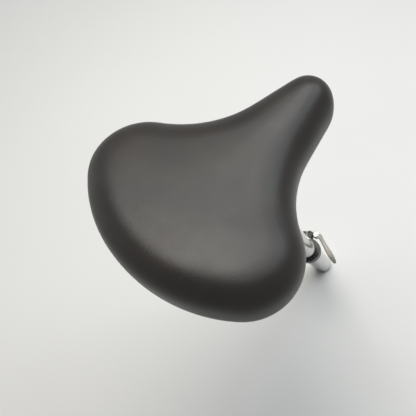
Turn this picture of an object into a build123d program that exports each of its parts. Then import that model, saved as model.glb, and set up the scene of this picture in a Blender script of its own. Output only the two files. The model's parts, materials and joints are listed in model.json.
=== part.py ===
from build123d import *
import os
from math import cos, radians, sin, sqrt

# Bicycle saddle on its seat post, with the rail clamp and the quick-release collar.
# Millimetres. +X forward, +Y left, +Z up. The origin lies on the post's axis, where the
# post enters the seat tube, just below the collar.

os.makedirs("parts", exist_ok=True)

# Seat post
seat_angle = 73.0
post_radius = 13.6
post_wall = 2.4
post_reach = 294.5
post_insertion = 105.5
post_end_chamfer = 1.0
insertion_ring_height = 1.0
insertion_ring_width = 1.2
insertion_ring_depth = 0.4
neck_radius = 11.1
neck_length = 34.0
neck_taper = 16.0

# Band round the neck, with two cheeks that reach back to the clamp bolt
band_height = 26.0
band_wall = 3.6
band_fit = 0.05
band_drop = 14.6
bolt_setback = 24.0
cheek_radius = 15.0

# Clamp bolt, cradles and nuts
bolt_radius = 4.0
bolt_fit = 0.08
bolt_tail = 3.0
bolt_chamfer = 1.0
cradle_gap = 0.1
cradle_length = 38.0
cradle_lip = 3.0
cradle_corner = 3.0
cradle_chamfer = 1.0
cradle_split = 0.6
outer_cradle_thickness = 6.0
nut_size = 13.0
nut_height = 6.5

# Rails
rail_radius = 3.5
rail_fit = 0.06
rail_spacing = 44.0
rail_rise = 11.0
rail_rear_margin = 5.0
rail_waist_bend = -8.0
rail_front_bend = 76.0
rail_nose = 128.0
rail_rear_spacing = 54.0
rail_nose_spacing = 23.0
rail_bend_radii = {"rear": 20.0, "waist": 20.0, "front": 25.0, "nose": 6.5}

# Saddle, measured from its widest line; stations are fore and aft of its datum
clamp_station = 28.9
stack_height = 70.0
nose_tip = 157.0
nose_radius = 25.4
nose_taper = 14.84
side_radius = 107.1
wing_station = -18.4
wing_radius = 53.7
half_width = 114.0
rear_end = -94.0

# Padding
edge_tilt = -0.07
edge_curve = 0.0005
crown_height = 34.0
nose_crown_height = 32.0
crown_fall_start = 40.0
crown_fall_end = 120.0
edge_round = 26.0
skirt_depth = 22.0
skirt_tuck = 8.0
tuck_share = 0.3
shoulder_height_share = 0.85
shoulder_width_share = 0.8
least_side_rise = 0.5
top_slope = 0.45
pad_gap = 0.3

# Base shell
shell_inset = 12.0
shell_thickness = 3.2
shell_rim_height = 7.5
shell_rim_width = 3.0
rib_width = 3.0
rib_height = 7.0
cross_rib_stations = (-40.0, -5.0, 28.0, 60.0, 92.0)
long_rib_offset = 16.0
nose_boss_length = 40.0
nose_boss_width = 26.0
nose_boss_height = 9.0
plate_corner = 5.0

# Springs and their seats
spring_station = -42.0
spring_inset = 67.0
spring_radius = 15.0
spring_wire = 2.4
spring_turns = 2.5
spring_end_turns = 0.75
spring_end_gap = 0.1
spring_play = 0.1
seat_rim_play = 0.9
seat_rim_width = 2.2
seat_rim_height = 3.0
seat_peg_play = 0.6
seat_peg_height = 5.0
seat_peg_lead = 1.0
upper_seat_drop = 8.0

# Rear bridge and rail keeper
bridge_thickness = 3.0
bridge_width = 26.0
bridge_gap = 0.2
bridge_flange_height = 6.0
bridge_flange_width = 2.5
keeper_thickness = 2.5
keeper_length = 16.0
keeper_flange = 12.0

# Nose bracket
bracket_gap = 0.1
bracket_length = 34.0
bracket_width = 24.0
bracket_plate = 3.0
bracket_hook_width = 11.0
bracket_wall = 3.0
bracket_drop = 8.6

# Collar, skewer and lever
collar_base = 2.5
collar_height = 14.0
collar_radius = 17.6
collar_chamfer = 0.8
collar_lip = 3.0
collar_lip_clearance = 0.08
tube_outer_radius = 14.3
tube_socket_clearance = 0.15
collar_turn = 42.8
ear_half_width = 6.0
ear_slit = 2.5
ear_station = 21.8
skewer_radius = 2.5
skewer_clearance = 0.1
skewer_tail = 1.0
skewer_nut_radius = 5.0
skewer_nut_length = 6.0
nut_flutes = 14
nut_flute_radius = 0.6
cam_seat_radius = 5.0
cam_seat_thickness = 2.0
cam_radius = 5.0
cam_throw = 0.8
cam_gap = 0.1
cam_height = 11.0
cam_round = 2.0
cam_slot = 5.6
slot_play = 1.0
eye_radius = 4.2
eye_height = 5.0
cam_pin_radius = 2.4
pin_clearance = 0.05
lever_lie = 61.4
lever_length = 48.0
lever_offset = 2.5
lever_corner = 1.4

# Axes of the post: front is square to the post and points forward
lean = radians(seat_angle)
post_up = Vector(-cos(lean), 0, sin(lean))
post_front = Vector(sin(lean), 0, cos(lean))
left = Vector(0, 1, 0)
across_post = Plane(origin=(0, 0, 0), x_dir=post_front, z_dir=post_up)
along_post = Plane(origin=(0, 0, 0), x_dir=post_front, z_dir=(0, -1, 0))
post_axis = Axis((0, 0, 0), post_up)


def on_post(front, side, up):
    """Point given by its distances in front of, left of and along the post's axis."""
    return post_front * front + left * side + post_up * up


# Places worked out from the sizes
band_middle = post_reach - band_drop
bolt = on_post(-bolt_setback, 0, band_middle)
cheek_face = neck_radius + band_fit + band_wall
rail_side = rail_spacing / 2
saddle_x = bolt.X - clamp_station
rail_z = bolt.Z + rail_rise
saddle_z = rail_z + stack_height
rail_rear_end = spring_station - keeper_length
rail_rear_bend = spring_station + keeper_length / 2 + rail_rear_margin
spring_offset = half_width - spring_inset
seat_rim_radius = spring_radius + spring_wire + seat_rim_play + seat_rim_width
seat_peg_radius = spring_radius - spring_wire - seat_peg_play
bridge_bottom = -stack_height + rail_radius + bridge_gap
bridge_top = bridge_bottom + bridge_thickness
shell_top = -skirt_depth - pad_gap
shell_bottom = shell_top - shell_thickness
upper_seat = shell_top - upper_seat_drop
nose_boss_bottom = shell_top - nose_boss_height
bracket_top = nose_boss_bottom - bracket_gap
rail_nose_z = bracket_top - bracket_drop


def level(station_z):
    """Level plane of the saddle, at a height from its widest line."""
    return Plane(origin=(saddle_x, 0, saddle_z + station_z))


def upright(station):
    """Plane across the saddle at a station: its x is to the left and its y is up."""
    return Plane(origin=(saddle_x + station, 0, saddle_z), x_dir=(0, 1, 0), z_dir=(1, 0, 0))


def side_view(side_y):
    """Plane of the saddle seen from the right: its x is forward and its y is up."""
    return Plane(origin=(saddle_x, side_y, saddle_z), x_dir=(1, 0, 0), z_dir=(0, -1, 0))


def at_bolt(side_y):
    """Plane square to the clamp bolt: its x is forward and its y is up."""
    return Plane(origin=(bolt.X, side_y, bolt.Z), x_dir=(1, 0, 0), z_dir=(0, -1, 0))


def spring_spots(height):
    """Points on the axes of the two springs, at a height from the widest line."""
    x = saddle_x + spring_station
    return (x, spring_offset, saddle_z + height), (x, -spring_offset, saddle_z + height)


def finish(piece, name):
    """Name a finished piece and write it out."""
    piece.part.label = name
    export_step(piece.part, f"parts/{name}.step")


# Plan outline of the saddle: a nose circle, a straight taper, a hollow side arc, a wing
# circle and a wide rear arc, each tangent to the next
taper = radians(nose_taper)
taper_normal = Vector(sin(taper), cos(taper))
taper_way = Vector(-cos(taper), sin(taper))
nose_center = Vector(nose_tip - nose_radius, 0)
wing_center = Vector(wing_station, half_width - wing_radius)
rear_span = wing_station - rear_end
rear_radius = (rear_span**2 + wing_center.Y**2 - wing_radius**2) / (2 * (rear_span - wing_radius))
rear_center = Vector(rear_end + rear_radius, 0)
taper_start = nose_center + taper_normal * nose_radius
side_start = taper_start + taper_normal * side_radius - wing_center
side_along = side_start.dot(taper_way)
side_across = side_start.dot(side_start) - (side_radius + wing_radius) ** 2
taper_length = -side_along - sqrt(side_along**2 - side_across)
side_center = taper_start + taper_way * taper_length + taper_normal * side_radius
wing_normal = (side_center - wing_center).normalized()
rear_normal = (wing_center - rear_center).normalized()


def arc_middle(center, radius, first, second):
    """Middle of the arc between two unit directions from its centre."""
    return center + (first + second).normalized() * radius


def plan_lines(inset):
    """Whole plan outline, moved inwards by the inset: its left half, then the mirrored half."""
    nose = nose_radius - inset
    side = side_radius + inset
    wing = wing_radius - inset
    rear = rear_radius - inset
    forward = Vector(1, 0)
    tip = nose_center + forward * nose
    nose_end = nose_center + taper_normal * nose
    taper_end = side_center - taper_normal * side
    wing_start = wing_center + wing_normal * wing
    wing_end = rear_center + rear_normal * rear
    rear_point = rear_center - forward * rear
    side_middle = arc_middle(side_center, side, -taper_normal, -wing_normal)
    with BuildLine() as outline:
        ThreePointArc(tip, arc_middle(nose_center, nose, forward, taper_normal), nose_end)
        Line(nose_end, taper_end)
        ThreePointArc(taper_end, side_middle, wing_start)
        ThreePointArc(wing_start, arc_middle(wing_center, wing, wing_normal, rear_normal), wing_end)
        ThreePointArc(wing_end, arc_middle(rear_center, rear, rear_normal, -forward), rear_point)
        mirror(about=Plane.XZ)
    return outline.edges()


def half_width_at(station):
    """Half width of the plan outline at a station."""
    wing_start = wing_center + wing_normal * wing_radius
    wing_end = rear_center + rear_normal * rear_radius
    taper_end = side_center - taper_normal * side_radius
    if station > taper_start.X:
        return sqrt(nose_radius**2 - (station - nose_center.X) ** 2)
    if station > taper_end.X:
        return taper_start.Y + (taper_start.X - station) * sin(taper) / cos(taper)
    if station > wing_start.X:
        return side_center.Y - sqrt(side_radius**2 - (station - side_center.X) ** 2)
    if station > wing_end.X:
        return wing_center.Y + sqrt(wing_radius**2 - (station - wing_center.X) ** 2)
    return sqrt(rear_radius**2 - (station - rear_center.X) ** 2)


def rounded(distance, reach):
    """Share of the full height that a round edge has at a distance from the outline."""
    return sqrt(1 - (1 - min(distance, reach) / reach) ** 2)


def pad_section(station):
    """Section of the padding: flat below, tucked sides, round shoulders, shallow crown."""
    width = half_width_at(station)
    distance = min(nose_tip - station, station - rear_end)
    edge_z = edge_tilt * station + edge_curve * station**2
    fall = min(max((station - crown_fall_start) / (crown_fall_end - crown_fall_start), 0), 1)
    crown = crown_height + (nose_crown_height - crown_height) * fall
    crown = crown * rounded(distance, edge_round)
    tuck = min(skirt_tuck, tuck_share * width)
    bottom_z = edge_z - (skirt_depth + edge_z) * rounded(distance, skirt_tuck)
    shoulder = min(edge_round, shoulder_height_share * crown, shoulder_width_share * width)
    shoulder_y = width - shoulder
    side_rise = max(least_side_rise, crown - shoulder - top_slope * shoulder_y)
    top_rise = crown - side_rise - shoulder
    spread = (shoulder_y**2 - top_rise**2) / (2 * top_rise)
    slope = Vector(shoulder_y, spread).normalized()
    shoulder_center = Vector(shoulder_y, edge_z + side_rise)
    shoulder_end = shoulder_center + slope * shoulder
    shoulder_middle = arc_middle(shoulder_center, shoulder, Vector(1, 0), slope)
    with BuildLine() as outline:
        Line((-(width - tuck), bottom_z), (width - tuck, bottom_z))
        for turn in (1, -1):
            edge_point = (turn * width, edge_z)
            side_point = (turn * width, edge_z + side_rise)
            TangentArc(edge_point, (turn * (width - tuck), bottom_z), tangent=(0, -1))
            Line(edge_point, side_point)
            ThreePointArc(
                side_point,
                (turn * shoulder_middle.X, shoulder_middle.Y),
                (turn * shoulder_end.X, shoulder_end.Y),
            )
        ThreePointArc(
            (shoulder_end.X, shoulder_end.Y),
            (0, edge_z + crown),
            (-shoulder_end.X, shoulder_end.Y),
        )
    return outline.edges()


# Stations of the padding's sections, by their distances from the rear end and the nose tip
rear_distances = (1.5, 6.0, 14.0, 26.0, 44.0, 62.0)
nose_distances = (140.0, 122.0, 104.0, 84.0, 62.0, 42.0, 26.0, 14.0, 6.0, 1.5)
pad_stations = [rear_end + d for d in rear_distances] + [nose_tip - d for d in nose_distances]

with BuildPart() as saddle_pad:
    for station in pad_stations:
        with BuildSketch(upright(station)):
            make_face(pad_section(station))
    loft()
finish(saddle_pad, "saddle_pad")

# Base shell: a thin pan with a rim, ribs, a boss at the nose and two spring seats
with BuildPart() as base_shell:
    with BuildSketch(level(shell_bottom)):
        make_face(plan_lines(shell_inset))
    extrude(amount=shell_thickness)
    with BuildSketch(level(shell_top - shell_rim_height)):
        make_face(plan_lines(shell_inset))
        make_face(plan_lines(shell_inset + shell_rim_width), mode=Mode.SUBTRACT)
    extrude(amount=shell_rim_height)
    with BuildSketch(level(shell_top - rib_height)):
        for station in cross_rib_stations:
            with Locations((station, 0)):
                Rectangle(rib_width, 2 * half_width)
        rib_start = spring_station
        rib_span = nose_tip - spring_station
        for side in (1, -1):
            with Locations((rib_start + rib_span / 2, side * long_rib_offset)):
                Rectangle(rib_span, rib_width)
        make_face(plan_lines(shell_inset + shell_rim_width / 2), mode=Mode.INTERSECT)
    extrude(amount=rib_height)
    with BuildSketch(level(nose_boss_bottom)):
        with Locations((rail_nose, 0)):
            RectangleRounded(nose_boss_length, nose_boss_width, plate_corner)
        make_face(plan_lines(shell_inset), mode=Mode.INTERSECT)
    extrude(amount=nose_boss_height)
    with BuildSketch(level(upper_seat)):
        with Locations((spring_station, spring_offset), (spring_station, -spring_offset)):
            Circle(seat_rim_radius)
    extrude(amount=upper_seat_drop)
    with BuildSketch(level(upper_seat - seat_rim_height)):
        with Locations((spring_station, spring_offset), (spring_station, -spring_offset)):
            Circle(seat_rim_radius)
            Circle(seat_rim_radius - seat_rim_width, mode=Mode.SUBTRACT)
    extrude(amount=seat_rim_height)
    with Locations(*spring_spots(upper_seat - seat_peg_height / 2)):
        Cone(seat_peg_radius - seat_peg_lead, seat_peg_radius, seat_peg_height)
finish(base_shell, "base_shell")

# Coil springs: closed turns at both ends, open turns between them, ends ground flat
spring_low = bridge_top + spring_play
spring_height = upper_seat - spring_play - spring_low
end_pitch = 2 * spring_wire + spring_end_gap
end_rise = spring_end_turns * end_pitch
open_rise = spring_height - 2 * end_rise
# Runs of each spring: start height, rise, pitch and the turns made before it
spring_runs = (
    (0, end_rise, end_pitch, 0),
    (end_rise, open_rise, open_rise / spring_turns, spring_end_turns),
    (end_rise + open_rise, end_rise, end_pitch, spring_end_turns + spring_turns),
)
for side, name in ((1, "spring_left"), (-1, "spring_right")):
    foot = Vector(saddle_x + spring_station, side * spring_offset, saddle_z + spring_low)
    with BuildPart() as spring:
        for start, rise, pitch, turns in spring_runs:
            run_turn = radians(360 * turns)
            run_plane = Plane(
                origin=foot + Vector(0, 0, start),
                x_dir=(cos(run_turn), sin(run_turn), 0),
                z_dir=(0, 0, 1),
            )
            with BuildLine(run_plane) as run:
                Helix(pitch, rise, spring_radius)
            coil = run.edges()[0]
            with BuildSketch(Plane(origin=coil @ 0, z_dir=coil % 0)):
                Circle(spring_wire)
            sweep(path=coil, is_frenet=True)
            if start > 0:
                with Locations(coil @ 0):
                    Sphere(spring_wire)
        with BuildSketch(level(spring_low)):
            with Locations((spring_station, side * spring_offset)):
                Circle(2 * spring_radius)
        extrude(amount=spring_height, mode=Mode.INTERSECT)
    finish(spring, name)

# Rear bridge: a pressed cross plate with a cup at each end for the springs
with BuildPart() as rear_bridge:
    with BuildSketch(level(bridge_bottom)):
        with Locations((spring_station, 0)):
            Rectangle(bridge_width, 2 * spring_offset)
        with Locations((spring_station, spring_offset), (spring_station, -spring_offset)):
            Circle(seat_rim_radius)
    extrude(amount=bridge_thickness)
    with BuildSketch(level(bridge_top)):
        with Locations((spring_station, spring_offset), (spring_station, -spring_offset)):
            Circle(seat_rim_radius)
            Circle(seat_rim_radius - seat_rim_width, mode=Mode.SUBTRACT)
    extrude(amount=seat_rim_height)
    with Locations(*spring_spots(bridge_top + seat_peg_height / 2)):
        Cone(seat_peg_radius, seat_peg_radius - seat_peg_lead, seat_peg_height)
    flange_offset = (bridge_width - bridge_flange_width) / 2
    with BuildSketch(level(bridge_bottom)):
        for fore in (1, -1):
            with Locations((spring_station + fore * flange_offset, 0)):
                Rectangle(bridge_flange_width, 2 * spring_offset)
        with Locations((spring_station, spring_offset), (spring_station, -spring_offset)):
            Circle(seat_rim_radius - seat_rim_width / 2, mode=Mode.SUBTRACT)
    extrude(amount=bridge_thickness + bridge_flange_height)
finish(rear_bridge, "rear_bridge")

# Rail keeper: a pressed strip with a hump round the rear end of each rail
keeper_outer = rail_radius + rail_fit + keeper_thickness
with BuildPart() as rail_keeper:
    with BuildSketch(upright(spring_station)):
        strip_z = bridge_bottom - keeper_thickness / 2
        with Locations((0, strip_z)):
            Rectangle(rail_rear_spacing + 2 * (keeper_outer + keeper_flange), keeper_thickness)
        for side in (1, -1):
            with Locations((side * rail_rear_spacing / 2, -stack_height)):
                Circle(keeper_outer)
                Circle(rail_radius + rail_fit, mode=Mode.SUBTRACT)
            with Locations((side * rail_rear_spacing / 2, -stack_height + keeper_outer)):
                Rectangle(2 * (rail_radius + rail_fit), 2 * keeper_outer, mode=Mode.SUBTRACT)
        with Locations((0, bridge_bottom + keeper_outer)):
            Rectangle(2 * half_width, 2 * keeper_outer, mode=Mode.SUBTRACT)
    extrude(amount=keeper_length / 2, both=True)
finish(rail_keeper, "rail_keeper")

# Rails: one wire, from the left rear end round the nose loop to the right rear end
rail_half = [
    (rail_rear_end, rail_rear_spacing / 2, -stack_height),
    (rail_rear_bend, rail_rear_spacing / 2, -stack_height),
    (rail_waist_bend, rail_side, -stack_height),
    (rail_front_bend, rail_side, -stack_height),
    (rail_nose, rail_nose_spacing / 2, rail_nose_z),
]
rail_points = [(saddle_x + x, y, saddle_z + z) for x, y, z in rail_half]
rail_points = rail_points + [(x, -y, z) for x, y, z in reversed(rail_points)]
bend_radii = [rail_bend_radii[place] for place in ("rear", "waist", "front", "nose")]
with BuildPart() as saddle_rails:
    with BuildLine() as rail_path:
        FilletPolyline(*rail_points, radius=bend_radii + bend_radii[::-1])
    rail_wire = rail_path.wires()[0]
    with BuildSketch(Plane(origin=rail_wire @ 0, z_dir=rail_wire % 0)):
        Circle(rail_radius)
    sweep(path=rail_wire)
finish(saddle_rails, "saddle_rails")

# Nose bracket: a plate under the shell's boss with a hook round the loop of the rails
with BuildPart() as nose_bracket:
    with BuildSketch(level(bracket_top - bracket_plate)):
        with Locations((rail_nose, 0)):
            RectangleRounded(bracket_length, bracket_width, plate_corner)
    extrude(amount=bracket_plate)
    with BuildSketch(side_view(0)):
        hook_radius = rail_radius + rail_fit + bracket_wall
        with Locations((rail_nose, rail_nose_z)):
            Circle(hook_radius)
        with Locations((rail_nose, rail_nose_z + bracket_drop / 2)):
            Rectangle(2 * hook_radius, bracket_drop)
    extrude(amount=bracket_hook_width / 2, both=True)
    with BuildSketch(side_view(0)):
        with Locations((rail_nose, rail_nose_z)):
            Circle(rail_radius + rail_fit)
    extrude(amount=bracket_width, both=True, mode=Mode.SUBTRACT)
finish(nose_bracket, "nose_bracket")

# Seat post: one turned outline, open at the foot and drawn down to a neck at the top
with BuildPart() as seat_post:
    with BuildSketch(along_post):
        bore = post_radius - post_wall
        shank_top = post_reach - neck_length - neck_taper
        ring_top = insertion_ring_height + insertion_ring_width
        ring_bed = post_radius - insertion_ring_depth
        with BuildLine():
            Polyline(
                (bore, -post_insertion),
                (post_radius - post_end_chamfer, -post_insertion),
                (post_radius, -post_insertion + post_end_chamfer),
                (post_radius, insertion_ring_height),
                (ring_bed, insertion_ring_height),
                (ring_bed, ring_top),
                (post_radius, ring_top),
                (post_radius, shank_top),
                (neck_radius, shank_top + neck_taper),
                (neck_radius, post_reach - post_end_chamfer),
                (neck_radius - post_end_chamfer, post_reach),
                (0, post_reach),
                (0, shank_top),
                (bore, shank_top - neck_taper / 2),
                close=True,
            )
        make_face()
    revolve(axis=post_axis)
finish(seat_post, "seat_post")

# Post band: wraps the front of the neck, with the cheeks behind it
with BuildPart() as post_band:
    with BuildSketch(across_post.offset(band_middle - band_height / 2)):
        Circle(cheek_face)
        with Locations((-bolt_setback / 2, 0)):
            Rectangle(bolt_setback, 2 * cheek_face)
    extrude(amount=band_height)
    with BuildSketch(at_bolt(cheek_face)):
        Circle(cheek_radius)
    extrude(amount=2 * cheek_face)
    with BuildSketch(across_post.offset(band_middle - band_height)):
        Circle(neck_radius + band_fit)
        with Locations((-bolt_setback, 0)):
            Rectangle(2 * bolt_setback, 2 * (neck_radius + band_fit))
        with Locations((-2 * bolt_setback - cheek_radius / 2, 0)):
            Rectangle(cheek_radius, 2 * (neck_radius + band_fit))
    extrude(amount=2 * band_height, mode=Mode.SUBTRACT)
    with BuildSketch(at_bolt(0)):
        Circle(bolt_radius + bolt_fit)
    extrude(amount=2 * cheek_face, both=True, mode=Mode.SUBTRACT)
finish(post_band, "post_band")

# Cradles: on each side an inner and an outer plate, with half a rail groove in each
inner_face = cheek_face + cradle_gap
split_inner = rail_side - cradle_split / 2
split_outer = rail_side + cradle_split / 2
outer_face = split_outer + outer_cradle_thickness
cradle_top = rail_rise + rail_radius + cradle_lip
for side, side_name in ((1, "left"), (-1, "right")):
    for place, near, far in (("inner", inner_face, split_inner), ("outer", split_outer, outer_face)):
        start_y = far if side > 0 else -near
        with BuildPart() as cradle:
            with BuildSketch(at_bolt(start_y)):
                Circle(cheek_radius)
                with Locations((0, rail_rise)):
                    RectangleRounded(cradle_length, 2 * (cradle_top - rail_rise), cradle_corner)
            extrude(amount=far - near)
            with BuildSketch(Plane(origin=(bolt.X, side * rail_side, rail_z), z_dir=(1, 0, 0))):
                Circle(rail_radius + rail_fit)
            extrude(amount=cradle_length, both=True, mode=Mode.SUBTRACT)
            with BuildSketch(at_bolt(0)):
                Circle(bolt_radius + bolt_fit)
            extrude(amount=2 * outer_face, both=True, mode=Mode.SUBTRACT)
            if place == "outer":
                outside = cradle.faces().sort_by(Axis.Y)[-1 if side > 0 else 0]
                chamfer(outside.outer_wire().edges(), length=cradle_chamfer)
        finish(cradle, f"{place}_cradle_{side_name}")

# Clamp bolt and its two nuts
bolt_end = outer_face + nut_height + bolt_tail
with BuildPart() as clamp_bolt:
    with BuildSketch(at_bolt(0)):
        Circle(bolt_radius)
    extrude(amount=bolt_end, both=True)
    chamfer(clamp_bolt.edges().filter_by(GeomType.CIRCLE), length=bolt_chamfer)
finish(clamp_bolt, "clamp_bolt")
for side, side_name in ((1, "left"), (-1, "right")):
    start_y = outer_face + nut_height if side > 0 else -outer_face
    with BuildPart() as clamp_nut:
        with BuildSketch(at_bolt(start_y)):
            RegularPolygon(nut_size / 2, 6, major_radius=False)
            Circle(bolt_radius + bolt_fit / 2, mode=Mode.SUBTRACT)
        extrude(amount=nut_height)
    finish(clamp_nut, f"clamp_nut_{side_name}")

# Collar, turned a little to the left about the post
turn = radians(collar_turn)
ear_way = post_front * cos(turn) + left * sin(turn)
collar_left = left * cos(turn) - post_front * sin(turn)
skewer_height = collar_height / 2
collar_origin = post_up * collar_base


def collar_plane(up):
    """Plane square to the post, above the collar's lower face: its x runs along the ears."""
    return Plane(origin=collar_origin + post_up * up, x_dir=ear_way, z_dir=post_up)


def skewer_plane(sideways):
    """Plane square to the skewer, at a distance to its left."""
    origin = collar_origin + ear_way * ear_station + collar_left * sideways + post_up * skewer_height
    return Plane(origin=origin, x_dir=ear_way, z_dir=collar_left)


with BuildPart() as collar:
    with BuildSketch(collar_plane(0)):
        Circle(collar_radius)
    extrude(amount=collar_height)
    chamfer(collar.edges().filter_by(GeomType.CIRCLE), length=collar_chamfer)
    with BuildSketch(skewer_plane(0)):
        Circle(collar_height / 2)
        with Locations((-ear_station / 2, 0)):
            Rectangle(ear_station, collar_height)
    extrude(amount=ear_half_width, both=True)
    with BuildSketch(collar_plane(0)):
        Circle(tube_outer_radius + tube_socket_clearance)
    extrude(amount=collar_height - collar_lip, mode=Mode.SUBTRACT)
    with BuildSketch(collar_plane(0)):
        Circle(post_radius + collar_lip_clearance)
        with Locations((ear_station, 0)):
            Rectangle(2 * ear_station, ear_slit)
    extrude(amount=collar_height, mode=Mode.SUBTRACT)
    with BuildSketch(skewer_plane(0)):
        Circle(skewer_radius + skewer_clearance)
    extrude(amount=2 * ear_half_width, both=True, mode=Mode.SUBTRACT)
finish(collar, "collar")

cam_seat_face = ear_half_width + cam_seat_thickness
pivot_reach = cam_seat_face + cam_gap + cam_radius + cam_throw
with BuildPart() as cam_seat:
    with BuildSketch(skewer_plane(-cam_seat_face)):
        Circle(cam_seat_radius)
        Circle(skewer_radius + skewer_clearance, mode=Mode.SUBTRACT)
    extrude(amount=cam_seat_thickness)
finish(cam_seat, "cam_seat")

skewer_end = ear_half_width + skewer_nut_length + skewer_tail
with BuildPart() as skewer:
    with BuildSketch(skewer_plane(-pivot_reach)):
        Circle(skewer_radius)
    extrude(amount=pivot_reach + skewer_end)
    with BuildSketch(collar_plane(skewer_height - eye_height / 2)):
        with Locations((ear_station, -pivot_reach)):
            Circle(eye_radius)
    extrude(amount=eye_height)
    with BuildSketch(collar_plane(0)):
        with Locations((ear_station, -pivot_reach)):
            Circle(cam_pin_radius + pin_clearance)
    extrude(amount=collar_height, mode=Mode.SUBTRACT)
finish(skewer, "skewer")

with BuildPart() as skewer_nut:
    with BuildSketch(skewer_plane(ear_half_width)):
        Circle(skewer_nut_radius)
        Circle(skewer_radius + skewer_clearance, mode=Mode.SUBTRACT)
        with PolarLocations(skewer_nut_radius, nut_flutes):
            Circle(nut_flute_radius, mode=Mode.SUBTRACT)
    extrude(amount=skewer_nut_length)
finish(skewer_nut, "skewer_nut")

with BuildPart() as cam_pin:
    with BuildSketch(collar_plane(skewer_height - cam_height / 2)):
        with Locations((ear_station, -pivot_reach)):
            Circle(cam_pin_radius)
    extrude(amount=cam_height)
finish(cam_pin, "cam_pin")

# Lever: a forked cam head, rounded above and below, and a handle that tapers to its tip
lever_angle = radians(-90 - lever_lie)
lever_way = ear_way * cos(lever_angle) + collar_left * sin(lever_angle)
lever_across = post_up.cross(lever_way)
pivot = collar_origin + ear_way * ear_station - collar_left * pivot_reach + post_up * skewer_height
cam_center = pivot + collar_left * cam_throw
cam_axis = Axis(cam_center, post_up)
handle_start = pivot + lever_across * lever_offset
handle_end = pivot + lever_way * lever_length
handle_span = handle_end - handle_start
handle_way = handle_span.normalized()
slot_radius = cam_radius + cam_throw + cam_gap + slot_play
# Sections of the handle: share of its length, thickness and height
handle_sections = (
    (0.06, 6.4, 11.0),
    (0.45, 5.8, 9.8),
    (0.92, 5.4, 8.4),
    (1.0, 3.2, 6.0),
)


def lever_plane(up):
    """Plane square to the cam pin at a height from the middle of the cam."""
    return Plane(origin=pivot + post_up * up, x_dir=lever_way, z_dir=post_up)


with BuildPart() as lever:
    with BuildSketch(Plane(origin=cam_center, x_dir=ear_way, z_dir=-collar_left)):
        with BuildLine():
            FilletPolyline(
                (0, -cam_height / 2),
                (cam_radius, -cam_height / 2),
                (cam_radius, cam_height / 2),
                (0, cam_height / 2),
                radius=cam_round,
            )
            Line((0, cam_height / 2), (0, -cam_height / 2))
        make_face()
    revolve(axis=cam_axis)
    for share, thickness, height in handle_sections:
        section_origin = handle_start + handle_span * share
        with BuildSketch(Plane(origin=section_origin, x_dir=lever_across, z_dir=handle_way)):
            RectangleRounded(thickness, height, lever_corner)
    loft()
    with BuildSketch(lever_plane(-cam_slot / 2)):
        Circle(slot_radius)
    extrude(amount=cam_slot, mode=Mode.SUBTRACT)
    with BuildSketch(lever_plane(-cam_height)):
        Circle(cam_pin_radius + pin_clearance)
    extrude(amount=2 * cam_height, mode=Mode.SUBTRACT)
finish(lever, "lever")

# Axes for the moving pieces, in metres, and the free end of the post
print("clamp bolt", [round(v / 1000, 6) for v in bolt])
print("cam pin", [round(v / 1000, 6) for v in pivot])
print("post up", [round(v, 9) for v in post_up])
print("saddle datum", round(saddle_x / 1000, 6), round(saddle_z / 1000, 6))
print("post insertion", post_insertion - post_end_chamfer + insertion_ring_height)
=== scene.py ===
import json
import math

import bmesh
import bpy
from mathutils import Matrix, Vector


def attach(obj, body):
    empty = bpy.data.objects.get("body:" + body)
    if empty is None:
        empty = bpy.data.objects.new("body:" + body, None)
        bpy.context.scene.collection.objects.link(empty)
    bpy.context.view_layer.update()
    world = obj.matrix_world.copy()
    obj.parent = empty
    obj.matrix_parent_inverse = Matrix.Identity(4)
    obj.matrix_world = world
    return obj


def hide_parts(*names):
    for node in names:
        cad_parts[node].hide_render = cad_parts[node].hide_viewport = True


# Bicycle saddle, rail clamp, seat post and quick-release collar: the finish of every
# surface, the padding's own mesh and the small fasteners. The scene is in metres, in the
# frame of the CAD: +X forward, +Y left, +Z up, origin on the post's axis just below the
# collar. Sizes are named in millimetres and degrees where their comment says nothing
# else, and MM turns millimetres into metres.

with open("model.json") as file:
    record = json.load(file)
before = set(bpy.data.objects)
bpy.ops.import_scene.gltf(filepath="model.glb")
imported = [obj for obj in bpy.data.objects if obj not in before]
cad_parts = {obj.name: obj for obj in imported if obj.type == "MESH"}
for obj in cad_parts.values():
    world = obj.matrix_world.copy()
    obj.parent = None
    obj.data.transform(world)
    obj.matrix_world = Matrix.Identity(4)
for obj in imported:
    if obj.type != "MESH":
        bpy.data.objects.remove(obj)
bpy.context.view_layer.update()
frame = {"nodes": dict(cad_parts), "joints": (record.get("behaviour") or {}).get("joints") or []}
nodes = frame["nodes"]
joints = {joint["name"]: joint for joint in frame["joints"]}

MM = 0.001

# How far the post leans back, in radians
post_axis = joints["collar_slide"]["axis"]
POST_LEAN = math.atan2(-post_axis[0], post_axis[2])

# Saddle: its datum is the middle of the widest line, placed from the bolt on which the
# clamp tilts, and stations are fore and aft of the datum
DATUM_FROM_BOLT = Vector((-28.9, 0.0, 81.0))
SADDLE = Vector(joints["saddle_tilt"]["pos_m"]) / MM + DATUM_FROM_BOLT
NOSE_TIP = 157.0
NOSE_RADIUS = 25.4
NOSE_TAPER = 14.84
SIDE_RADIUS = 107.1
WING_STATION = -18.4
WING_RADIUS = 53.7
HALF_WIDTH = 114.0
REAR_END = -94.0

# Padding: the slope and curve of its widest line, its shoulder, whose fullness would be 2
# for a quarter of an ellipse, its crown and its skirt
EDGE_TILT = -0.07
EDGE_CURVE = 0.0005
EDGE_ROUND = 35.0
NOSE_ROUND = 26.5
NOSE_BLEND = (65.0, 135.0)
EDGE_FULLNESS = 2.4
SHOULDER_HEIGHT = 34.3
CROWN_RISE = 2.2
CROWN_REACH = 75.0
SKIRT_DEPTH = 22.0
SKIRT_TUCK = 8.0
COVER_FOLD = 6.0
UNDERSIDE_DISH = 1.0

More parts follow.
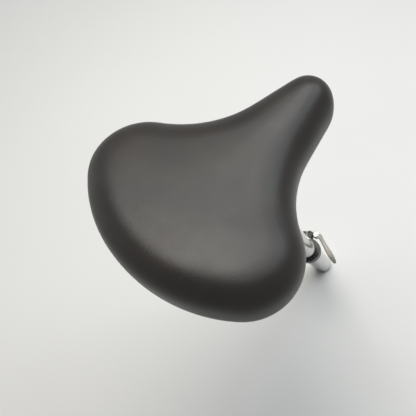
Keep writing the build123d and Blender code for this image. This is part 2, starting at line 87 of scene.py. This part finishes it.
# The padding's mesh: where its rings lie, as shares of the way in to the centre line and
# as turns round the skirt and the shoulder, and how finely it is divided
UNDERSIDE_SHARES = (1.0, 0.7, 0.4, 0.2)
SKIRT_TURNS = (-90, -72, -54, -36, -18)
SHOULDER_TURNS = (0, 7, 14, 21, 28, 36, 44, 53, 62, 72)
CROWN_SHARES = (0.1, 0.22, 0.36, 0.52, 0.68, 0.84, 1.0)
SPINE_INSET_REAR = 50.0
SPINE_INSET_NOSE = 26.0
OUTLINE_SPACING = 7.0
MERGE_DISTANCE = 0.2
SUBDIVISIONS = 2

# Underneath, as heights from the datum: bridge, keeper and nose bracket
BRIDGE_STATION = -42.0
BRIDGE_TOP = -63.3
KEEPER_BOTTOM = -68.8
RIVET_OFFSET = 39.0
BRACKET_STATION = 128.0
BRACKET_BOTTOM = -34.4
BRACKET_BOLT_OFFSET = 11.5

# Fasteners: profiles as (radius, height) from the face on which each one sits
RIVET_HEAD = ((0.1, -1.6), (1.6, -1.5), (2.6, -1.0), (3.1, -0.3), (3.2, 0.0))
BOLT_HEAD = ((0.1, -4.0), (3.8, -4.0), (4.5, -3.4), (4.6, -3.2), (4.6, 0.0))
NUT_AND_END = ((4.6, 0.0), (4.6, 3.6), (4.5, 3.9), (3.8, 4.3), (2.6, 4.3), (2.5, 5.4), (0.1, 5.6))
HEX_SIDES = 6
ROUND_SIDES = 24

# Bands of a noise's values: nearly all of them, its middle, its upper part, its crests
WHOLE = (0.3, 0.7)
MIDDLE = (0.35, 0.65)
UPPER = (0.35, 0.7)
CRESTS = (0.55, 0.72)

# Colours, as linear red, green and blue: a pair holds the two tones between which it varies
SKIN_BLACK = ((0.0125, 0.0107, 0.0096), (0.020, 0.0168, 0.0149))
HANDLING_MARK = (0.030, 0.028, 0.026)
SHELL_BLACK = ((0.022, 0.022, 0.023), (0.036, 0.036, 0.037))
NYLON_BLACK = ((0.04, 0.04, 0.04), (0.06, 0.06, 0.058))
DUST = (0.11, 0.105, 0.095)
BRACKET_PAINT = (0.017, 0.017, 0.018)
BRACKET_STEEL = (0.42, 0.41, 0.40)
COLLAR_PAINT = (0.013, 0.013, 0.014)
COLLAR_METAL = (0.45, 0.45, 0.45)
SPRING_STEEL = ((0.46, 0.46, 0.47), (0.60, 0.60, 0.60))
ZINC = ((0.42, 0.42, 0.405), (0.53, 0.53, 0.525))
RAIL_STEEL = ((0.50, 0.50, 0.49), (0.62, 0.62, 0.62))
CHROME = ((0.50, 0.505, 0.50), (0.56, 0.56, 0.555))
LEVER_POLISHED = ((0.66, 0.66, 0.64), (0.74, 0.73, 0.71))
# The lever's satin tones are a painted reflection: a dark warm grey in place of the dark
# surroundings that the handle reflects
LEVER_SATIN_PAINTED_REFLECTION = ((0.205, 0.195, 0.175), (0.265, 0.252, 0.23))
LEVER_SCUFF = (0.15, 0.142, 0.13)
FLOOR_PALE = (0.86, 0.86, 0.845)
BACKDROP_TINT = (1.0, 1.0, 0.99, 1.0)

# Lever, as distances from the cam pin: where its polish ends and its satin, with its painted dark
# reflection, is full
POLISH_END = 5.5
SATIN_START = 8.5

# Floor and backdrop: the floor's size and fade in metres, the backdrop's strength near
# the horizon, overhead and as light on the part, and the rise up to which the first holds
FLOOR_SIZE = 8.0
FADE_START = 0.45
FADE_END = 1.5
WORLD_SHOWN = 0.62
WORLD_TOP = 0.35
WORLD_LIGHT = 0.02
HORIZON_RISE = 0.35

# Soft boxes: name, place and width in metres, watts and colour
SOFT_BOXES = (
    ("key", (0.14, 0.44, 1.82), 1.1, 28.5, (1.0, 0.97, 0.925)),
    ("front", (0.90, -0.20, 1.50), 1.1, 14.5, (0.87, 0.94, 1.0)),
    ("left", (-0.70, 1.10, 0.60), 1.1, 1.2, (1.0, 1.0, 0.98)),
)

# Camera, from the saddle's datum, with its roll in radians
CAMERA_PLACE = Vector((-124.14, -229.76, 457.3))
CAMERA_AIM = Vector((-4.0, -4.7, 0.1))
CAMERA_ROLL = -0.32
CAMERA_LENS = 51.23
CAMERA_SENSOR = 36.0


# Meshes


def new_piece(name, source, body, material):
    """Link a bmesh as a smooth piece that rides on a body."""
    mesh = bpy.data.meshes.new(name)
    source.to_mesh(mesh)
    source.free()
    mesh.shade_smooth()
    mesh.materials.append(material)
    piece = bpy.data.objects.new(name, mesh)
    bpy.context.scene.collection.objects.link(piece)
    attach(piece, body)
    return piece


def join_rings(source, rings):
    """Faces between each ring of points and the next."""
    for lower, upper in zip(rings, rings[1:]):
        for i in range(len(lower)):
            j = (i + 1) % len(lower)
            source.faces.new((lower[i], lower[j], upper[j], upper[i]))


def unit(angle):
    return Vector((math.cos(angle), math.sin(angle)))


def plan_arcs():
    """The left half of the plan outline, from the nose tip to the rear's middle.

    An arc is (centre, signed radius, start angle, end angle). The straight taper behind
    the nose is (its start, its length, its normal's angle, the same angle).
    """
    taper = math.radians(NOSE_TAPER)
    taper_normal = Vector((math.sin(taper), math.cos(taper)))
    taper_way = Vector((-math.cos(taper), math.sin(taper)))
    nose_center = Vector((NOSE_TIP - NOSE_RADIUS, 0.0))
    wing_center = Vector((WING_STATION, HALF_WIDTH - WING_RADIUS))

    # The rear's arc is centred on the middle line and runs smoothly into the wing's
    span = WING_STATION - REAR_END
    rear_radius = (span**2 + wing_center.y**2 - WING_RADIUS**2) / (2 * (span - WING_RADIUS))
    rear_center = Vector((REAR_END + rear_radius, 0.0))

    # The taper is as long as lets the hollow side touch both it and the wing
    taper_start = nose_center + taper_normal * NOSE_RADIUS
    reach = taper_start + taper_normal * SIDE_RADIUS - wing_center
    along = reach.dot(taper_way)
    excess = reach.dot(reach) - (SIDE_RADIUS + WING_RADIUS) ** 2
    taper_length = -along - math.sqrt(along**2 - excess)
    side_center = taper_start + taper_way * taper_length + taper_normal * SIDE_RADIUS

    wing_normal = (side_center - wing_center).normalized()
    rear_normal = (wing_center - rear_center).normalized()
    taper_turn = math.atan2(taper_normal.y, taper_normal.x)
    wing_turn = math.atan2(wing_normal.y, wing_normal.x)
    rear_turn = math.atan2(rear_normal.y, rear_normal.x)
    return [
        (nose_center, NOSE_RADIUS, 0.0, taper_turn),
        (taper_start, taper_length, taper_turn, taper_turn),
        (side_center, -SIDE_RADIUS, taper_turn, wing_turn),
        (wing_center, WING_RADIUS, wing_turn, rear_turn),
        (rear_center, rear_radius, rear_turn, math.pi),
    ]


def plan_outline():
    """Points of the whole outline with their outward normals, nose tip first."""
    half = []
    for center, radius, start, end in plan_arcs():
        straight = start == end
        length = radius if straight else abs(radius * (end - start))
        count = max(2, round(length / OUTLINE_SPACING))
        for step in range(count):
            share = step / count
            normal = unit(start + (end - start) * share)
            if straight:
                way = Vector((-normal.y, normal.x))
                half.append((center + way * length * share, normal))
            else:
                half.append((center + normal * radius, normal))
    half.append((Vector((REAR_END, 0.0)), Vector((-1.0, 0.0))))
    mirrored = [
        (Vector((spot.x, -spot.y)), Vector((normal.x, -normal.y)))
        for spot, normal in reversed(half[1:-1])
    ]
    return half + mirrored


def edge_height(station):
    """Height of the padding's widest line at a station."""
    return EDGE_TILT * station + EDGE_CURVE * station**2


def smooth_step(span, value):
    """0 below a span, 1 above it, and a smooth rise between."""
    share = min(max((value - span[0]) / (span[1] - span[0]), 0.0), 1.0)
    return share * share * (3 - 2 * share)


def spine_point(station):
    """Point of the centre line that a point of the outline is drawn towards."""
    share = (station - REAR_END) / (NOSE_TIP - REAR_END)
    low = REAR_END + SPINE_INSET_REAR
    high = NOSE_TIP - SPINE_INSET_NOSE
    return Vector((low + (high - low) * share, 0.0))


def drawn_in(outline, inset, share):
    """The outline, set in by a distance and then drawn in by a share of the way."""
    return [(spot - normal * inset).lerp(spine_point(spot.x), share) for spot, normal in outline]


def outline_distance(plan, outline):
    """Distance from a point inside the outline to its nearest side."""
    nearest = EDGE_ROUND + CROWN_REACH
    for (start, _), (end, _) in zip(outline, outline[1:] + outline[:1]):
        side = end - start
        share = min(max((plan - start).dot(side) / side.length_squared, 0.0), 1.0)
        nearest = min(nearest, (start + side * share - plan).length)
    return nearest


def top_height(plan, outline):
    """Height of the top: a round shoulder, narrower at the nose, and a shallow crown."""
    distance = outline_distance(plan, outline)
    width = EDGE_ROUND + (NOSE_ROUND - EDGE_ROUND) * smooth_step(NOSE_BLEND, plan.x)
    left_over = max(1 - distance / width, 0.0)
    rounding = (1 - left_over**EDGE_FULLNESS) ** (1 / EDGE_FULLNESS)
    crown = smooth_step((0.0, CROWN_REACH), distance)
    return edge_height(plan.x) + SHOULDER_HEIGHT * rounding + CROWN_RISE * crown


def saddle_point(plan, height):
    """Place in the scene of a point that is measured from the saddle's datum."""
    return (SADDLE + Vector((plan.x, plan.y, height))) * MM


def top_ring(outline, inset, share):
    plans = drawn_in(outline, inset, share)
    return [saddle_point(plan, top_height(plan, outline)) for plan in plans]


def skirt_ring(outline, turn):
    """A ring of the skirt, which curves in from the widest line to the foot."""
    inset = SKIRT_TUCK * (1 - math.cos(turn))
    ring = []
    for spot, normal in outline:
        edge = edge_height(spot.x)
        height = edge + (SKIRT_DEPTH + edge) * math.sin(turn)
        ring.append(saddle_point(spot - normal * inset, height))
    return ring


def pad_rings():
    """Rings of the padding from the middle of its underside to its crown."""
    outline = plan_outline()
    fold = SKIRT_TUCK + COVER_FOLD
    rings = []
    for share in UNDERSIDE_SHARES:
        plans = drawn_in(outline, fold, share)
        rings.append([saddle_point(plan, UNDERSIDE_DISH - SKIRT_DEPTH) for plan in plans])
    rings.append([saddle_point(plan, -SKIRT_DEPTH) for plan in drawn_in(outline, fold, 0.0)])
    for turn in SKIRT_TURNS:
        rings.append(skirt_ring(outline, math.radians(turn)))
    insets = [NOSE_ROUND * (1 - math.cos(math.radians(turn))) for turn in SHOULDER_TURNS]
    rings += [top_ring(outline, inset, 0.0) for inset in insets]
    rings += [top_ring(outline, insets[-1], share) for share in CROWN_SHARES]
    return rings


def build_pad(material):
    """The padding: one closed, seamless skin over foam."""
    source = bmesh.new()
    join_rings(source, [[source.verts.new(spot) for spot in ring] for ring in pad_rings()])
    bmesh.ops.remove_doubles(source, verts=source.verts, dist=MERGE_DISTANCE * MM)
    bmesh.ops.recalc_face_normals(source, faces=source.faces)
    pad = new_piece("pad_cover", source, "saddle", material)
    smooth = pad.modifiers.new("smooth", "SUBSURF")
    smooth.levels = SUBDIVISIONS
    smooth.render_levels = SUBDIVISIONS
    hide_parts("saddle_pad")


def turned(name, spots, profile, sides, material):
    """Fasteners of the saddle with an upright axis, one at each spot from the datum."""
    source = bmesh.new()
    for spot in spots:
        rings = []
        for radius, height in profile:
            ring = []
            for side in range(sides):
                around = unit(2 * math.pi * (side + 0.5) / sides) * radius
                place = SADDLE + spot + Vector((around.x, around.y, height))
                ring.append(source.verts.new(place * MM))
            rings.append(ring)
        join_rings(source, rings)
        source.faces.new(rings[0])
        source.faces.new(rings[-1])
    bmesh.ops.recalc_face_normals(source, faces=source.faces)
    piece = new_piece(name, source, "saddle", material)
    if sides == HEX_SIDES:
        piece.data.shade_flat()


def build_fasteners(coated, plated):
    """Rivets and bolt heads under the keeper and bracket, and the nut on the bridge."""
    rivets = [Vector((BRIDGE_STATION, side * RIVET_OFFSET, KEEPER_BOTTOM)) for side in (1, -1)]
    turned("keeper_rivets", rivets, RIVET_HEAD, ROUND_SIDES, coated)
    bolts = [Vector((BRIDGE_STATION, 0.0, KEEPER_BOTTOM))]
    for side in (1, -1):
        station = BRACKET_STATION + side * BRACKET_BOLT_OFFSET
        bolts.append(Vector((station, 0.0, BRACKET_BOTTOM)))
    turned("saddle_bolt_heads", bolts, BOLT_HEAD, HEX_SIDES, plated)
    nuts = [Vector((BRIDGE_STATION, 0.0, BRIDGE_TOP))]
    turned("bridge_nut", nuts, NUT_AND_END, HEX_SIDES, plated)


# Materials


def feed(tree, value, socket):
    """Link a socket to another one, or set it to a plain value."""
    if isinstance(value, bpy.types.NodeSocket):
        tree.links.new(value, socket)
    else:
        socket.default_value = value


def toned(color, factor):
    return tuple(factor * part for part in color)


class Finish:
    """A procedural material, built node by node on a Principled shader."""

    def __init__(self, name, metallic=0.0, specular=0.5, edge=0.0):
        self.material = bpy.data.materials.new(name)
        self.material.use_nodes = True
        self.tree = self.material.node_tree
        self.shader = self.tree.nodes["Principled BSDF"]
        self.shader.inputs["Metallic"].default_value = metallic
        self.shader.inputs["Specular IOR Level"].default_value = specular
        self.place = self.add("ShaderNodeTexCoord").outputs["Object"]
        self.normal = None
        if edge > 0:
            self.normal = self.add("ShaderNodeBevel", Radius=edge).outputs["Normal"]

    def add(self, kind, **inputs):
        """A node whose inputs are set or linked by name."""
        node = self.tree.nodes.new(kind)
        for key, value in inputs.items():
            feed(self.tree, value, node.inputs[key.replace("_", " ")])
        return node

    def noise(self, scale, detail=4.0, vector=None):
        """Soft noise, whose scale counts its waves in a metre."""
        place = vector or self.place
        node = self.add("ShaderNodeTexNoise", Scale=scale, Detail=detail, Vector=place)
        return node.outputs["Fac"]

    def cells(self, scale):
        """Rounded cells, whose scale counts them in a metre."""
        node = self.add("ShaderNodeTexVoronoi", Scale=scale, Vector=self.place)
        return node.outputs["Distance"]

    def marks(self, detail, lean, scale):
        """Noise turned by a lean about Y and scaled along each axis, so that it runs one way."""
        node = self.add("ShaderNodeMapping", Vector=self.place)
        node.inputs["Rotation"].default_value = (0.0, lean, 0.0)
        node.inputs["Scale"].default_value = scale
        return self.noise(scale=1.0, detail=detail, vector=node.outputs["Vector"])

    def span(self, value, band, results=(0.0, 1.0)):
        """A value's band brought to the results, which hold beyond its ends."""
        node = self.add("ShaderNodeMapRange", Value=value)
        keys = ("From Min", "From Max", "To Min", "To Max")
        for key, number in zip(keys, (*band, *results)):
            node.inputs[key].default_value = number
        return node.outputs["Result"]

    def measure(self, operation, first, second=None):
        """The single number that a vector operation gives, such as a length."""
        node = self.tree.nodes.new("ShaderNodeVectorMath")
        node.operation = operation
        feed(self.tree, first, node.inputs[0])
        if second is not None:
            feed(self.tree, second, node.inputs[1])
        return node.outputs["Value"]

    def worn_edges(self, radius, worn, whole):
        """1 on sharp edges and 0 on flats: a bevelled normal turns away there.

        Worn and whole are the cosines of that turn at which the result is 1 and 0.
        """
        bevel = self.add("ShaderNodeBevel", Radius=radius)
        true_normal = self.add("ShaderNodeNewGeometry").outputs["Normal"]
        cosine = self.measure("DOT_PRODUCT", bevel.outputs["Normal"], true_normal)
        return self.span(cosine, band=(whole, worn))

    def product(self, first, second):
        node = self.tree.nodes.new("ShaderNodeMath")
        node.operation = "MULTIPLY"
        feed(self.tree, first, node.inputs[0])
        feed(self.tree, second, node.inputs[1])
        return node.outputs["Value"]

    def blend(self, share, first, second):
        """Colour between two, each of them a plain colour or a socket."""
        node = self.tree.nodes.new("ShaderNodeMix")
        node.data_type = "RGBA"
        feed(self.tree, share, node.inputs["Factor"])
        for socket, color in ((node.inputs[6], first), (node.inputs[7], second)):
            plain = isinstance(color, tuple)
            feed(self.tree, (*color, 1.0) if plain else color, socket)
        return node.outputs[2]

    def relief(self, height, depth, strength):
        """Bump on top of the bumps made before."""
        node = self.add("ShaderNodeBump", Height=height, Distance=depth, Strength=strength)
        if self.normal is not None:
            self.tree.links.new(self.normal, node.inputs["Normal"])
        self.normal = node.outputs["Normal"]

    def done(self, color, roughness):
        self.tree.links.new(color, self.shader.inputs["Base Color"])
        self.tree.links.new(roughness, self.shader.inputs["Roughness"])
        self.tree.links.new(self.normal, self.shader.inputs["Normal"])
        return self.material


def skin_finish():
    """Soft matte black skin with a very fine pebble grain and faint handling marks."""
    look = Finish("skin_soft_black", specular=0.34)
    clouds = look.span(look.noise(scale=16.0, detail=3.0), MIDDLE)
    color = look.blend(clouds, *SKIN_BLACK)
    marks = look.marks(detail=6.0, lean=0.6, scale=(35.0, 210.0, 60.0))
    handled = look.span(marks, band=(0.58, 0.75), results=(0.0, 0.35))
    color = look.blend(handled, color, HANDLING_MARK)
    roughness = look.span(look.noise(scale=30.0, detail=5.0), WHOLE, results=(0.36, 0.43))
    look.relief(look.noise(scale=22.0, detail=2.0), depth=0.5 * MM, strength=0.5)
    look.relief(look.cells(scale=1100.0), depth=0.09 * MM, strength=0.6)
    look.relief(look.noise(scale=2600.0, detail=2.0), depth=0.05 * MM, strength=0.5)
    return look.done(color, roughness)


def moulded_finish(name, tones, grain, roughness):
    """Moulded black plastic with an even spark grain and a little dust."""
    look = Finish(name, specular=0.45, edge=0.5 * MM)
    color = look.blend(look.span(look.noise(scale=40.0, detail=5.0), UPPER), *tones)
    dust = look.span(look.noise(scale=9.0, detail=6.0), band=(0.5, 0.8), results=(0.0, 0.3))
    color = look.blend(dust, color, DUST)
    limits = (roughness - 0.06, roughness + 0.08)
    uneven = look.span(look.noise(scale=60.0), WHOLE, results=limits)
    look.relief(look.noise(scale=grain, detail=3.0), depth=0.04 * MM, strength=0.7)
    return look.done(color, uneven)


def coated_finish(name, paint, bare, roughness):
    """Black coating with orange peel, rubbed through to bare metal on its sharpest edges."""
    look = Finish(name, edge=0.4 * MM)
    edges = look.worn_edges(radius=1.1 * MM, worn=0.86, whole=0.97)
    patches = look.noise(scale=260.0, detail=6.0)
    patches = look.span(patches, band=(0.47, 0.58), results=(0.0, 0.8))
    tone = look.span(look.noise(scale=55.0), WHOLE)
    color = look.blend(tone, paint, toned(paint, 1.5))
    color = look.blend(look.product(edges, patches), color, bare)
    limits = (roughness - 0.05, roughness + 0.08)
    uneven = look.span(look.noise(scale=80.0), WHOLE, results=limits)
    look.relief(look.noise(scale=700.0, detail=2.0), depth=0.03 * MM, strength=0.6)
    return look.done(color, uneven)


def metal_finish(name, tones, roughness, stretch, depth, lean=0.0):
    """Bare or plated metal with fine marks that run one way and a soft haze."""
    look = Finish(name, metallic=1.0, edge=0.3 * MM)
    lines = look.marks(detail=5.0, lean=lean, scale=stretch)
    haze = look.noise(scale=38.0, detail=5.0)
    color = look.blend(look.span(haze, UPPER), *tones)
    dulled = look.span(lines, CRESTS, results=(0.0, 0.35))
    color = look.blend(dulled, color, toned(tones[0], 0.8))
    limits = (roughness * 0.75, roughness * 1.45)
    uneven = look.span(haze, band=(0.3, 0.72), results=limits)
    look.relief(lines, depth, strength=0.5)
    return look.done(color, uneven)


def lever_finish(pin):
    """Polished round the cam head, and satin along the handle, whose dark warm grey colour is a
    painted reflection of dark surroundings.
    """
    look = Finish("lever_chrome", metallic=1.0, edge=0.3 * MM)
    reach = look.measure("DISTANCE", look.place, pin)
    handle = look.span(reach, band=(POLISH_END * MM, SATIN_START * MM))
    haze = look.noise(scale=60.0, detail=5.0)
    clouds = look.span(haze, UPPER)
    polished = look.blend(clouds, *LEVER_POLISHED)
    # Painted reflection: the handle's colour is a dark warm grey, as if it reflected dark
    # surroundings
    satin_and_painted_reflection = look.blend(clouds, *LEVER_SATIN_PAINTED_REFLECTION)
    scuffs = look.marks(detail=6.0, lean=0.3, scale=(700.0, 160.0, 420.0))
    satin_and_painted_reflection = look.blend(look.span(scuffs, CRESTS, results=(0.0, 0.4)), satin_and_painted_reflection, LEVER_SCUFF)
    uneven = look.span(haze, WHOLE, results=(0.85, 1.2))
    roughness = look.span(handle, band=(0.0, 1.0), results=(0.24, 0.46))
    look.relief(scuffs, depth=0.02 * MM, strength=0.5)
    return look.done(look.blend(handle, polished, satin_and_painted_reflection), look.product(uneven, roughness))


skin = skin_finish()
shell_plastic = moulded_finish("shell_plastic", SHELL_BLACK, grain=2400.0, roughness=0.52)
nylon = moulded_finish("washer_nylon", NYLON_BLACK, grain=1800.0, roughness=0.42)
black_steel = coated_finish("black_coated_steel", BRACKET_PAINT, BRACKET_STEEL, roughness=0.38)
collar_black = coated_finish("collar_black", COLLAR_PAINT, COLLAR_METAL, roughness=0.34)
spring_steel = metal_finish(
    "spring_wire",
    SPRING_STEEL,
    roughness=0.26,
    stretch=(300.0, 300.0, 2600.0),
    depth=0.02 * MM,
)
plated_steel = metal_finish(
    "zinc_plate",
    ZINC,
    roughness=0.34,
    stretch=(700.0, 240.0, 700.0),
    depth=0.02 * MM,
)
rail_steel = metal_finish(
    "rail_plate",
    RAIL_STEEL,
    roughness=0.24,
    stretch=(60.0, 1500.0, 1500.0),
    depth=0.01 * MM,
)
post_chrome = metal_finish(
    "post_chrome",
    CHROME,
    roughness=0.12,
    stretch=(1500.0, 1500.0, 14.0),
    depth=0.006 * MM,
    lean=-POST_LEAN,
)
cam_spots = [vertex.co for vertex in nodes["cam_pin"].data.vertices]
lever_chrome = lever_finish(sum(cam_spots, Vector()) / len(cam_spots))

# Every other node is plated steel
NODE_FINISHES = {
    "base_shell": shell_plastic,
    "cam_seat": nylon,
    "spring_left": spring_steel,
    "spring_right": spring_steel,
    "rear_bridge": black_steel,
    "rail_keeper": black_steel,
    "nose_bracket": black_steel,
    "collar": collar_black,
    "saddle_rails": rail_steel,
    "seat_post": post_chrome,
    "lever": lever_chrome,
    "skewer_nut": lever_chrome,
}
for node_name, node in nodes.items():
    node.data.materials.clear()
    node.data.materials.append(NODE_FINISHES.get(node_name, plated_steel))

build_pad(skin)
build_fasteners(black_steel, plated_steel)


# Floor, light and camera


def shown_rays(tree):
    """1 for what the camera sees, straight or in reflections, and 0 for light on the part."""
    paths = tree.nodes.new("ShaderNodeLightPath")
    shown = paths.outputs["Is Camera Ray"]
    for ray in ("Is Glossy Ray", "Is Transmission Ray"):
        either = tree.nodes.new("ShaderNodeMath")
        either.operation = "MAXIMUM"
        tree.links.new(shown, either.inputs[0])
        tree.links.new(paths.outputs[ray], either.inputs[1])
        shown = either.outputs["Value"]
    return shown


def fade_floor(look):
    """The floor runs out into the backdrop's own tone, away from the part and its shadow."""
    reach = look.measure("LENGTH", look.place)
    away = look.add("ShaderNodeMapRange", Value=reach, From_Min=FADE_START, From_Max=FADE_END)
    away.interpolation_type = "SMOOTHSTEP"
    glow = look.add("ShaderNodeEmission", Color=BACKDROP_TINT, Strength=WORLD_SHOWN)
    share = look.product(away.outputs["Result"], shown_rays(look.tree))
    mix = look.add("ShaderNodeMixShader", Fac=share)
    look.tree.links.new(look.shader.outputs["BSDF"], mix.inputs[1])
    look.tree.links.new(glow.outputs["Emission"], mix.inputs[2])
    surface = look.tree.nodes["Material Output"].inputs["Surface"]
    look.tree.links.new(mix.outputs["Shader"], surface)


def lay_floor():
    """A pale, slightly uneven floor under the foot of the post."""
    height = min(vertex.co.z for vertex in nodes["seat_post"].data.vertices)
    bpy.ops.mesh.primitive_plane_add(size=FLOOR_SIZE, location=(0.0, 0.0, height))
    floor = bpy.context.object
    floor.name = "floor"
    look = Finish("floor_pale", specular=0.3)
    tone = look.span(look.noise(scale=1.6, detail=5.0), WHOLE)
    color = look.blend(tone, toned(FLOOR_PALE, 0.96), FLOOR_PALE)
    look.relief(look.noise(scale=60.0), depth=0.4 * MM, strength=0.3)
    roughness = look.span(look.noise(scale=9.0), WHOLE, results=(0.7, 0.85))
    floor.data.materials.append(look.done(color, roughness))
    fade_floor(look)


def light_world():
    """A pale backdrop to the camera and in reflections; the soft boxes light the part."""
    world = bpy.data.worlds.new("studio")
    bpy.context.scene.world = world
    world.use_nodes = True
    tree = world.node_tree
    way = tree.nodes.new("ShaderNodeSeparateXYZ")
    feed(tree, tree.nodes.new("ShaderNodeTexCoord").outputs["Generated"], way.inputs["Vector"])
    height = tree.nodes.new("ShaderNodeMapRange")
    height.interpolation_type = "SMOOTHSTEP"
    feed(tree, way.outputs["Z"], height.inputs["Value"])
    feed(tree, HORIZON_RISE, height.inputs["From Min"])
    feed(tree, WORLD_SHOWN, height.inputs["To Min"])
    feed(tree, WORLD_TOP, height.inputs["To Max"])
    strength = tree.nodes.new("ShaderNodeMapRange")
    feed(tree, shown_rays(tree), strength.inputs["Value"])
    feed(tree, WORLD_LIGHT, strength.inputs["To Min"])
    feed(tree, height.outputs["Result"], strength.inputs["To Max"])
    backdrop = tree.nodes["Background"]
    feed(tree, BACKDROP_TINT, backdrop.inputs["Color"])
    feed(tree, strength.outputs["Result"], backdrop.inputs["Strength"])


def hang_lamps():
    """Soft boxes that look at the saddle."""
    for name, place, width, watts, tint in SOFT_BOXES:
        lamp_data = bpy.data.lights.new(name, "AREA")
        lamp_data.size = width
        lamp_data.energy = watts
        lamp_data.color = tint
        lamp = bpy.data.objects.new(name, lamp_data)
        lamp.location = place
        way = SADDLE * MM - lamp.location
        lamp.rotation_euler = way.to_track_quat("-Z", "Y").to_euler()
        bpy.context.scene.collection.objects.link(lamp)


def place_camera():
    """The photograph's view, from above and behind the saddle's right side."""
    forward = (CAMERA_AIM - CAMERA_PLACE).normalized()
    level_right = forward.cross(Vector((0.0, 0.0, 1.0))).normalized()
    level_up = level_right.cross(forward)
    right = level_right * math.cos(CAMERA_ROLL) + level_up * math.sin(CAMERA_ROLL)
    up = level_up * math.cos(CAMERA_ROLL) - level_right * math.sin(CAMERA_ROLL)
    turn = Matrix((right, up, -forward)).transposed()
    camera_data = bpy.data.cameras.new("camera")
    camera_data.lens = CAMERA_LENS
    camera_data.sensor_width = CAMERA_SENSOR
    camera_data.sensor_fit = "HORIZONTAL"
    camera = bpy.data.objects.new("camera", camera_data)
    place = Matrix.Translation((SADDLE + CAMERA_PLACE) * MM)
    camera.matrix_world = place @ turn.to_4x4()
    bpy.context.scene.collection.objects.link(camera)
    bpy.context.scene.camera = camera


lay_floor()
light_world()
hang_lamps()
place_camera()
bpy.context.scene.view_settings.view_transform = "Standard"
